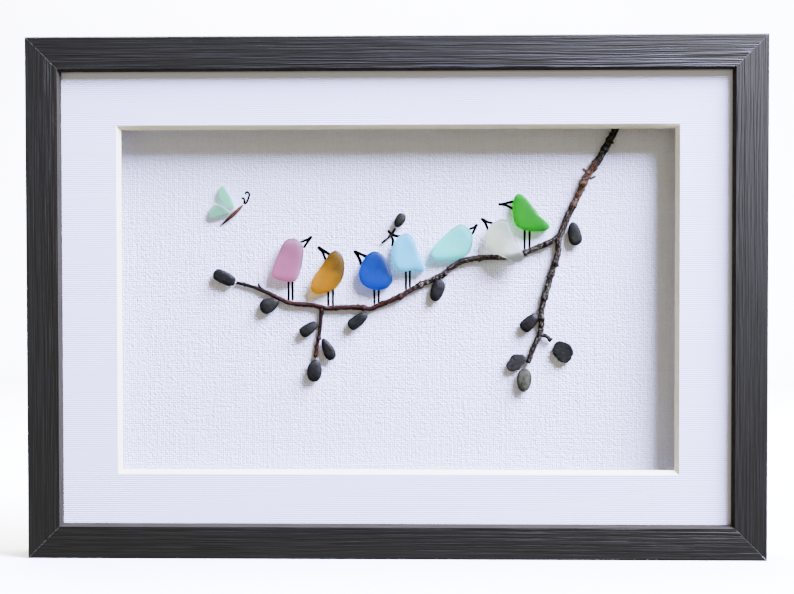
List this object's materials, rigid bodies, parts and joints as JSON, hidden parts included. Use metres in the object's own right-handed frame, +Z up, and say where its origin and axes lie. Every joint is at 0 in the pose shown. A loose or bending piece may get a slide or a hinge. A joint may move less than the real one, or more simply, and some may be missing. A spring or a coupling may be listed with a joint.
{
  "type": "framed glass art",
  "caption": "Deep black wooden frame with a white mat around a canvas picture of sea-glass birds perched on a twig with pebble leaves.",
  "frame": {"origin": "middle of the underside of the frame, halfway through its depth", "axes": "+X to the right as seen from the front, +Y from the front face to the back, +Z up"},
  "size_m": [0.43, 0.035, 0.304],
  "materials": {
    "frame_wood": "matt black stain over brushed grain",
    "mat_card": "matt, laid ribs",
    "spacer_card": "matt",
    "canvas": "matt primed canvas",
    "backing_fibre": "matt pressed fibre",
    "pink_glass": "frosted sea glass",
    "amber_glass": "frosted sea glass",
    "cobalt_glass": "frosted sea glass",
    "sky_glass": "frosted sea glass",
    "aqua_glass": "frosted sea glass",
    "clear_glass": "frosted sea glass",
    "green_glass": "frosted sea glass",
    "mint_glass": "frosted sea glass",
    "dark_bark": "rough bark",
    "red_bark": "satin young bark",
    "seed_sliver": "matt",
    "pebble_grey": "water-worn, matt",
    "pebble_olive": "water-worn, matt",
    "pebble_purple": "water-worn, matt",
    "slate": "rough cleft slate"
  },
  "bodies": {
    "root": {"frame_rail_bottom": "frame_wood", "frame_rail_top": "frame_wood", "frame_rail_left": "frame_wood", "frame_rail_right": "frame_wood", "mat_board": "mat_card", "spacer_top": "spacer_card", "spacer_bottom": "spacer_card", "spacer_left": "spacer_card", "spacer_right": "spacer_card", "canvas_board": "canvas", "backing_board": "backing_fibre", "bird_pink": "pink_glass", "bird_amber": "amber_glass", "bird_cobalt": "cobalt_glass", "bird_sky": "sky_glass", "bird_aqua": "aqua_glass", "bird_clear": "clear_glass", "bird_green": "green_glass", "butterfly_wing_upper": "mint_glass", "butterfly_wing_lower": "mint_glass", "butterfly_body": "seed_sliver", "trunk_twig": "dark_bark", "perch_twig": "red_bark", "held_sprig": "dark_bark", "slate_leaf_1": "slate", "slate_leaf_2": "slate", "pebble_leaf_01": "pebble_grey", "pebble_leaf_02": "pebble_grey", "pebble_leaf_03": "pebble_grey", "pebble_leaf_04": "pebble_grey", "pebble_leaf_05": "pebble_grey", "pebble_leaf_06": "pebble_grey", "pebble_leaf_07": "pebble_grey", "pebble_leaf_08": "pebble_grey", "pebble_leaf_09": "pebble_purple", "pebble_leaf_10": "pebble_olive", "pebble_leaf_11": "pebble_grey"}
  },
  "joints": []
}
